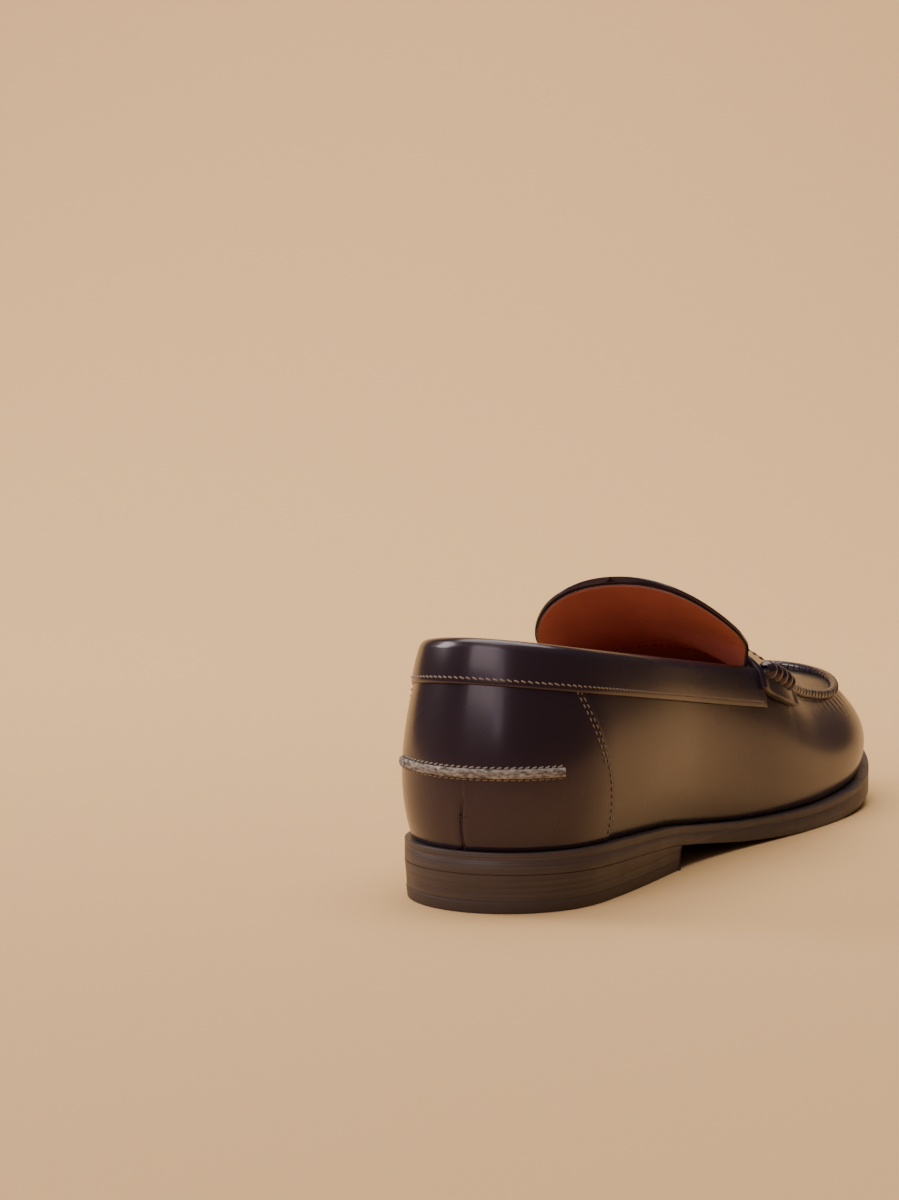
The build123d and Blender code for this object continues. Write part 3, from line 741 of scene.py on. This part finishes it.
def binding_loop(u):
    """The collar strip at one slice: an outer leg, a soft roll over the edge, an inner leg."""
    top = top_line(u)
    outside = -QUARTER_PROUD - 0.75
    inside = LINING_IN + 0.9
    foot = top - BINDING_DEPTH
    loop = [(foot - 0.25, outside + 0.45), (foot - 0.1, outside + 0.1)]
    loop += [(top - BINDING_DEPTH * (1 - s), outside - 0.25 * math.sin(math.pi * s))
             for s in np.linspace(0.03, 0.86, 14)]
    middle, half = (outside + inside) / 2, (inside - outside) / 2
    loop += [(top - 1.75 + 2.9 * math.sin(a), middle - half * math.cos(a))
             for a in np.linspace(0.1, math.pi - 0.1, 13)]
    loop += [(top - z, inside) for z in (3, 5, 7, 8)]
    loop += [(top - 8, inside - 0.7), (top - 4, inside - 0.8), (top - 1.6, inside - 1.2)]
    loop += [(top - 1.4, outside + 1.3), (top - 5, outside + 0.7), (top - 9, outside + 0.7)]
    return np.array(loop)


def collar_binding():
    shares = np.linspace(share_at(COLLAR_FRONT, 1) - 1, share_at(COLLAR_FRONT, -1), 360)
    loops = np.array([binding_loop(u) for u in shares])
    rings = wall(shares[:, None], loops[..., 0], loops[..., 1])
    build_rings("collar_binding", rings, UPPER)


wall_layers()
heel_ridge()
collar_binding()

# ---------------------------------------------------------------- top of the forefoot


def rim(u, inset=0.0, rise=0.0):
    """Points along the wall's top edge, inset towards the middle and raised."""
    foot = place(u)
    flat = foot + outward(u) * (top_reach(foot[..., 0]) - inset)[..., None]
    return np.concatenate([flat, (top_line(u) + rise)[..., None]], -1)


def plug_rows():
    """Rows across the apron from the strap to the toe, each a loop over and under the leather."""
    share = 1 - (1 - np.linspace(0, 1, 180)) ** 1.6
    start, stop = share_at(STRAP_BACK + 1, -1), share_at(STRAP_BACK + 1, 1)
    short_of_toe = 0.999
    left = rim(start + (0.5 - start) * share * short_of_toe, 0.6)[:, :2]
    right = rim(stop + (0.5 - stop) * share * short_of_toe, 0.6)[:, :2]
    across = (1 - np.cos(np.linspace(0, math.pi, 60))) / 2
    flat = left[:, None] + (right - left)[:, None] * across[None, :, None]
    width = np.linalg.norm(right - left, axis=1)[:, None]
    gap = np.minimum(np.minimum(across, 1 - across)[None, :] * width,
                     np.abs(left[-1, 0] - flat[..., 0]))
    sink = 0.9 * (1 - np.exp(-gap / 3.5)) - 0.6 * np.exp(-(gap / 1.2) ** 2)
    waves = 0.22 * ripple(flat[..., 0] / 11, flat[..., 1] / 13, 11)
    upper = top_height(flat[..., 0], flat[..., 1]) - sink + waves + 0.5
    top = np.concatenate([flat, upper[..., None]], -1)
    under = np.concatenate([flat, (upper - LEATHER)[..., None]], -1)[:, ::-1]
    return np.concatenate([top, under], 1)


def path_frame(path):
    """Unit tangents of a path, and directions across it and up from it."""
    along = unit(np.gradient(path, axis=0))
    across = unit(np.cross(along, np.array([0, 0, 1.0])))
    return along, across, np.cross(across, along)


def hoops(path, pitch, radius, thread, start, end, lean=0.6):
    """Hand stitches that go over a rounded seam, each an arc of thread about the path."""
    line = resample(path, pitch)
    run, side, up = path_frame(line)
    ring = circle(thread, 7)
    turn = np.linspace(start, end, 12)
    parts = []
    for k in range(1, len(line) - 1):
        arc = [line[k] + side[k] * math.cos(a) * radius + up[k] * math.sin(a) * radius
               + run[k] * lean * (a - math.pi / 2) for a in turn]
        arc = np.array(arc)
        ahead = unit(np.gradient(arc, axis=0))
        out = unit(arc - line[k])
        rings = sweep(arc, np.cross(ahead, out), out, ring)
        parts.append((list(rings.reshape(-1, 3)), tube_faces(*rings.shape[:2])))
    return parts


def plug():
    build_rings("plug", plug_rows(), PLUG)


def apron_seam():
    """The raised seam round the plug, slightly uneven along its length, and its hand stitches."""
    shares = np.linspace(share_at(STRAP_FRONT, -1), share_at(STRAP_FRONT, 1), 420)
    line = rim(shares, 0.3, APRON_LIFT)
    _, across, up = path_frame(line)
    step = np.arange(len(line))
    swell = 1 + 0.05 * np.sin(step * 0.9) * np.sin(step * 0.37)
    rings = sweep(line, across * swell[:, None], up,
                  circle(APRON_RADIUS, 16) * np.array([0.9, 1.0]))
    build_rings("apron_seam", rings, UPPER)
    threads = hoops(line, 3.4, APRON_RADIUS * 0.95, 0.17, -0.5, math.pi + 0.5)
    build_threads("apron_thread", threads, DARK_THREAD)


plug()
apron_seam()

# ---------------------------------------------------------------- saddle strap and beef rolls

# Height of the tabs' lower ends along the strap's width.
tab_low = curve((1, 52.5), (10, 48.5), (27, 43.5))


def strap_line(x):
    """The strap's underside at length x, from the outer tab over the arch to the inner tab."""
    tab_steps, arch_steps, steps, bend = 14, 50, 150, 1.5
    sides = []
    for side in (-1, 1):
        u = share_at(x, side)
        z = np.linspace(tab_low(x), top_line(u) - bend, tab_steps)
        sides.append(wall(np.full(tab_steps, u), z, np.full(tab_steps, -QUARTER_PROUD)))
    ends = [rim(np.array([share_at(x, side)]))[0] for side in (-1, 1)]
    y = np.linspace(ends[0][1] + bend, ends[1][1] - bend, arch_steps)
    arch_line = np.column_stack([np.full(arch_steps, float(x)), y, top_height(x, y) + 0.8])
    line = np.vstack([sides[0], arch_line, sides[1][::-1]])
    length = np.r_[0, np.cumsum(np.linalg.norm(np.diff(line, axis=0), axis=1))]
    even = np.linspace(0, length[-1], steps)
    line = np.column_stack([np.interp(even, length, line[:, k]) for k in range(3)])
    for _ in range(10):
        line[1:-1] = (line[:-2] + 2 * line[1:-1] + line[2:]) / 4
    line[:, 0] = x
    return line


def out_of_strap(lines, axis):
    """Directions out of the strap, square to its width and to the lines along it."""
    return unit(np.cross(np.array([1.0, 0, 0]), unit(np.gradient(lines, axis=axis))))


def strap_rings():
    """Loops round the strap's section: a domed top, rolled edges and the line it lies on."""
    xs = np.linspace(STRAP_BACK, STRAP_FRONT, 30)
    under = np.array([strap_line(x) for x in xs])
    out = out_of_strap(under, 1)
    share = np.linspace(0, 1, 30)[:, None]
    rolled = np.exp(-(share / 0.07) ** 2) + np.exp(-((1 - share) / 0.07) ** 2)
    dome = (STRAP_THICK + 0.35 * np.sin(math.pi * share) + 0.45 * rolled)[..., None]
    over = under + out * dome
    rounding = np.linspace(0, math.pi, 7)[1:-1]
    front, back = [], []
    for a in rounding:
        push = np.array([1.0, 0, 0]) * math.sin(a)
        front.append(under[-1] + out[-1] * dome[-1] * (1 + math.cos(a)) / 2 + push)
        back.append(under[0] + out[0] * dome[0] * (1 - math.cos(a)) / 2 - push)
    rings = np.concatenate([over, front, under[::-1], back])
    return rings.transpose(1, 0, 2)


def slot_cutter():
    """A tall prism with the outline of the strap's slot: a long lens with a notch each side."""
    half_length, half_width, notch, below, above, around = 17, 3.6, 1.1, 60.0, 90.0, 64
    middle = (STRAP_BACK + STRAP_FRONT) / 2 - 1
    t = np.linspace(0, 2 * math.pi, around, endpoint=False)
    width = half_width * np.abs(np.sin(t)) ** 1.3 + notch * np.exp(-(np.cos(t) / 0.22) ** 2)
    outline = np.column_stack([middle + np.sign(np.sin(t)) * width, half_length * np.cos(t)])
    rings = np.array([np.column_stack([outline, np.full(around, z)]) for z in (below, above)])
    mesh = bpy.data.meshes.new("slot_cutter")
    mesh.from_pydata((rings.reshape(-1, 3) * MM).tolist(), [], tube_faces(2, around))
    return bpy.data.objects.new("slot_cutter", mesh)


def face_outwards(mesh):
    """Turns the faces so their normals point out of the solid."""
    shell = bmesh.new()
    shell.from_mesh(mesh)
    bmesh.ops.recalc_face_normals(shell, faces=shell.faces)
    shell.to_mesh(mesh)
    shell.free()


def cut(piece, tool):
    """Cuts the tool out of the piece and applies the result to its mesh."""
    face_outwards(piece.data)
    face_outwards(tool.data)
    bpy.context.scene.collection.objects.link(tool)
    boolean = piece.modifiers.new("slot", "BOOLEAN")
    boolean.object = tool
    boolean.solver = "EXACT"
    boolean.use_self = True
    boolean.use_hole_tolerant = True
    depsgraph = bpy.context.evaluated_depsgraph_get()
    piece.data = bpy.data.meshes.new_from_object(piece.evaluated_get(depsgraph))
    piece.modifiers.clear()
    bpy.data.objects.remove(tool)


def saddle_strap():
    cut(build_rings("saddle_strap", strap_rings(), UPPER), slot_cutter())


def roll_path(side):
    """Centre line of a beef roll, just outside the strap's bend over the wall's top edge."""
    shares = share_at(np.linspace(STRAP_BACK + 2.5, STRAP_FRONT - 1, 140), side)
    return rim(shares, -ROLL_OUT, ROLL_RISE)


def roll_rings(side):
    """A rope-like roll of leather wound along the strap's end: slanted lobes with deep grooves."""
    path = roll_path(side)
    _, across, up = path_frame(path)
    turn = np.linspace(0, 2 * math.pi, 28, endpoint=False)
    share = np.linspace(0, 1, len(path))[:, None]
    phase = share * 5 * math.pi + side * 0.5 * np.cos(turn)[None, :]
    lobes = np.abs(np.sin(phase)) ** 0.7
    ends = 0.55 + 0.45 * np.sqrt(np.clip(1 - np.abs(2 * share - 1) ** 5, 0, 1))
    radius = (2.0 + 1.5 * lobes) * ends
    return (path[:, None] + across[:, None] * (radius * np.cos(turn))[..., None]
            + up[:, None] * (radius * np.sin(turn))[..., None])


def beef_rolls():
    for side, word in ((-1, "outer"), (1, "inner")):
        build_rings(f"beef_roll_{word}", roll_rings(side), UPPER)
        threads = hoops(roll_path(side), 4.5, 2.3, 0.32, -0.6, math.pi + 0.6, side * 0.4)
        build_threads(f"roll_thread_{word}", threads, DARK_THREAD)


saddle_strap()
beef_rolls()

# ---------------------------------------------------------------- tongue


def tongue_height(x, y):
    """The free end of the tongue is flatter than its bed, and stands up on the outer side."""
    free = np.clip((2 - x) / 12, 0, 1)
    free = free * free * (3 - 2 * free)
    outer = np.minimum(y, 0)
    return top_height(x, y) + free * (0.0028 * y * y - 0.08 * y + 0.0015 * outer * outer)


def tongue_width(x, inset):
    """Half widths of the tongue on its outer and inner sides at the lengths x."""
    turn = np.arcsin(np.clip((TONGUE_ROUND - x) / (TONGUE_ROUND - TONGUE_TIP - inset), 0, 1))
    half = (TONGUE_HALF - inset) * np.cos(turn) ** 0.62
    half = half * (1 + 0.045 * np.exp(-((x + 14) / 12) ** 2))
    return half * (1 + 0.11 * np.clip((3 - x) / 11, 0, 1)), half


def tongue_lengths(start, steps, round_steps, inset):
    """Lengths along the tongue, straight to where its tip starts and then closing up round it."""
    turn = np.linspace(0, math.pi / 2, round_steps)[1:]
    depth = TONGUE_ROUND - TONGUE_TIP - inset
    return np.r_[np.linspace(start, TONGUE_ROUND, steps), TONGUE_ROUND - depth * np.sin(turn)]


def tongue_rows(top, thick, inset, roundness):
    """Rows across the tongue from its root to its round tip, each a loop over and under it."""
    x = tongue_lengths(TONGUE_ROOT, 60, 60, inset)
    outer, inner = tongue_width(x, inset)
    tip_half = 0.3
    outer[-1], inner[-1] = tip_half, tip_half
    across = -np.cos(np.linspace(0, math.pi, 46))[None, :]
    y = np.where(across < 0, outer[:, None], inner[:, None]) * across
    thick = thick * np.minimum(1, 0.35 + inner[:, None] / 7)
    bend = 1.2 * ripple(x[:, None] / 21, y / 24, 4)
    middle = tongue_height(x[:, None], y) - top - thick / 2 + 0.3 * bend
    edge = 1 - roundness * np.abs(across) ** 12
    over = np.stack([x[:, None] + 0 * y, y, middle + thick / 2 * edge], -1)
    under = np.stack([x[:, None] + 0 * y, y, middle - thick / 2 * edge], -1)[:, ::-1]
    return np.concatenate([over, under], 1)


def bends_with_tongue(piece):
    """Bakes the world transform of a piece that no body carries into its mesh."""
    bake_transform(piece)


def tongue_layers():
    rows = tongue_rows(TONGUE_SINK, TONGUE_THICK, inset=0, roundness=0.5)
    bends_with_tongue(build_rings("tongue", rows, UPPER, nodes=("tongue", "tongue_root"),
                                  body=None))
    rows = tongue_rows(top=3.3, thick=0.9, inset=1.1, roundness=0.3)
    bends_with_tongue(build_rings("tongue_lining", rows, LINER, "lining_leather", body=None))


def tongue_outline(inset, drop):
    """Line round the tongue, inset from its edge and a drop below its surface."""
    x = tongue_lengths(-2, 12, 40, inset)
    outer, inner = tongue_width(x, inset)
    x, y = np.r_[x, x[::-1][1:]], np.r_[-outer, inner[::-1][1:]]
    return np.column_stack([x, y, tongue_height(x, y) - drop])


def up_normals(line):
    return np.tile([0.0, 0, 1.0], (len(line), 1))


def tongue_edge_stitches():
    """A dark row on top of the tongue, and a fine pale one along the edge of its lining."""
    line = tongue_outline(2.2, TONGUE_SINK - 0.05)
    row = stitches(line, up_normals(line), 3.0, 0.78, 0.3)
    bends_with_tongue(build_threads("tongue_edge_stitch", [row], DARK_THREAD, body=None))
    line = tongue_outline(0.75, TONGUE_SINK + TONGUE_THICK + 0.05)
    row = stitches(line, -up_normals(line), 2.0, 0.9, 0.16, seed=7)
    bends_with_tongue(build_threads("tongue_inner_stitch", [row], LIGHT_THREAD, nodes=(),
                                    body=None))


def tongue_root_stitch():
    """A curved row of rust stitches under the tongue, in front of its joint."""
    y = np.linspace(-27, 27, 60)
    x = 17 - 0.016 * y * y
    arc = np.column_stack([x, y, top_height(x, y) - 4.25])
    row = stitches(arc, -up_normals(arc), 2.6, 0.75, 0.3, 0.3, seed=5)
    build_threads("tongue_root_stitch", [row], RUST_THREAD)


tongue_layers()
tongue_edge_stitches()
tongue_root_stitch()

# ---------------------------------------------------------------- stitch rows on the walls


def on_wall(u, z, depth):
    """A line on the wall and the directions out of it."""
    line = wall(u, z, depth)
    return line, unit(wall(u, z, np.asarray(depth) - 1.0) - line)


def collar_stitch():
    """Pale stitches along the lower edge of the collar binding, up to the strap on each side."""
    u = np.linspace(share_at(STRAP_BACK, 1) - 1, share_at(STRAP_BACK, -1), 400)
    path, normals = on_wall(u, top_line(u) - BINDING_DEPTH + 1.5, -QUARTER_PROUD - 0.8)
    row = stitches(path, normals, 2.1, 0.84, 0.25, -0.3)
    build_threads("collar_stitch", [row], LIGHT_THREAD, "light_thread")


def quarter_stitches():
    """Two rows beside each side seam; the row set further back starts higher up."""
    rows = []
    for side in (-1, 1):
        for setback, lowest in ((1.2, 0.03), (2.9, 0.42)):
            v = np.linspace(lowest, 0.80, 90)
            u = share_at(seam_x(v) - setback, side)
            path, normals = on_wall(u, heights(u, v), -QUARTER_PROUD)
            rows.append(stitches(path, normals, 2.4, 0.6, 0.2, seed=int(setback * 10)))
    build_threads("quarter_stitches", rows, LIGHT_THREAD)


def ridge_stitches():
    """A heavy slanted row above the heel lip and a fine one below it."""
    rows = []
    for height, slant, radius in ((RIDGE_HIGH + 0.3, 0.35, 0.33), (RIDGE_LOW - 0.4, 0.1, 0.2)):
        u = np.linspace(-RIDGE_END, RIDGE_END, 90)
        path, normals = on_wall(u, np.full_like(u, height), -QUARTER_PROUD)
        rows.append(stitches(path, normals, 2.1, 0.85, radius, slant, seed=int(height)))
    build_threads("ridge_stitches", rows, LIGHT_THREAD, "light_thread")


def back_seam_tack():
    """A few stitches across the back seam."""
    u = np.linspace(-0.003, 0.003, 9)
    path, normals = on_wall(u, np.full_like(u, 29.0), -QUARTER_PROUD)
    row = stitches(path, normals, 2.4, 0.9, 0.28, seed=2)
    build_threads("back_seam_tack", [row], DARK_THREAD, nodes=())


def strap_stitches():
    """A row along the strap's rear edge and one along its front edge, clear of the tabs."""
    tab_steps, edge_gap = 26, 2.2
    rows = []
    for x in (STRAP_BACK + edge_gap, STRAP_FRONT - edge_gap):
        line = strap_line(x)[tab_steps:-tab_steps]
        out = out_of_strap(line, 0)
        rows.append(stitches(line + out * (STRAP_THICK + 0.2), out, 2.8, 0.72, 0.28, seed=int(x)))
    build_threads("strap_stitches", rows, DARK_THREAD)


collar_stitch()
quarter_stitches()
ridge_stitches()
back_seam_tack()
strap_stitches()

# ---------------------------------------------------------------- floor, light, camera


def sheet_of_paper(name, rows, half_width, material):
    """A plain backdrop strip through (distance ahead of the shoe, height) rows, in metres."""
    ahead = np.array([LOOK[0], LOOK[1]])
    aside = np.array([-LOOK[1], LOOK[0]])
    points = [[*(ahead * run + aside * width), z]
              for run, z in rows for width in (-half_width, half_width)]
    mesh = bpy.data.meshes.new(name)
    mesh.from_pydata(points, [], grid_faces(len(rows), 2))
    mesh.shade_smooth()
    mesh.materials.append(material)
    strip = bpy.data.objects.new(name, mesh)
    bpy.context.scene.collection.objects.link(strip)


def backdrop():
    """A sand-coloured floor, with a strip that curves up into a wall on the far side."""
    material, shader = new_material("pale_ground", (0.68, 0.43, 0.21), 0.9, 0.1)
    grain = place_texture(material, "ShaderNodeTexNoise", 900, Detail=3)
    add_bump(material, shader, grain, "Fac", 0.15, 0.0004)
    reach, bend_start, radius, wall_top, below_floor = 6, 0.7, 1.8, 2.8, 0.004
    sheet_of_paper("floor", [(-reach, 0), (reach, 0)], reach, material)
    bend = np.linspace(0, math.pi / 2, 24)
    curve_up = list(zip(bend_start + radius * np.sin(bend),
                        radius * (1 - np.cos(bend)) - below_floor))
    sheet_of_paper("far_wall", curve_up + [(bend_start + radius, wall_top)], 1.25, material)


def area_light(name, position, target, size, power, colour=(1, 0.93, 0.84), height=None):
    """A soft box aimed at a target, square unless it has a height of its own."""
    data = bpy.data.lights.new(name, "AREA")
    data.energy = power
    data.color = colour
    data.shape = "RECTANGLE"
    data.size = size
    data.size_y = height or size
    light = bpy.data.objects.new(name, data)
    light.location = position
    light.rotation_euler = (Vector(target) - Vector(position)).to_track_quat("-Z", "Y").to_euler()
    bpy.context.scene.collection.objects.link(light)


def room_light(colour, strength):
    """Even light from all round."""
    world = bpy.data.worlds.new("soft_room")
    world.use_nodes = True
    background = world.node_tree.nodes["Background"]
    background.inputs["Color"].default_value = (*colour, 1)
    background.inputs["Strength"].default_value = strength
    bpy.context.scene.world = world


def camera(position, direction, lens):
    """An upright picture's camera: the lens is for a 36 mm high sensor."""
    data = bpy.data.cameras.new("photo_camera")
    data.sensor_fit = "VERTICAL"
    data.sensor_height = 36
    data.lens = lens
    data.clip_start = 0.01
    taker = bpy.data.objects.new("photo_camera", data)
    taker.location = position
    taker.rotation_euler = Vector(direction).to_track_quat("-Z", "Y").to_euler()
    bpy.context.scene.collection.objects.link(taker)
    bpy.context.scene.camera = taker


backdrop()
area_light("overhead", (0.3, 0.3, 2.2), (0.2, 0.1, 0.0), 2.4, 68)
area_light("key", (-0.35, 1.7, 1.0), (0, 0, 0.05), 0.7, 15)
area_light("front_glow", (-1.9, -0.5, 0.95), (0, 0, 0.05), 0.35, 2.2, (0.95, 0.85, 0.9), 0.9)
area_light("soft_front", (-1.5, 0.2, 1.1), (0, 0, 0.05), 1.1, 13, (1, 0.92, 0.88))
area_light("wall_wash", (0.3, 0.2, 1.6), (2.4, 1.1, 0.5), 1.4, 24)
room_light((0.55, 0.43, 0.37), 0.12)
camera((-0.8876, -0.3545, 0.1656), LOOK, 84)
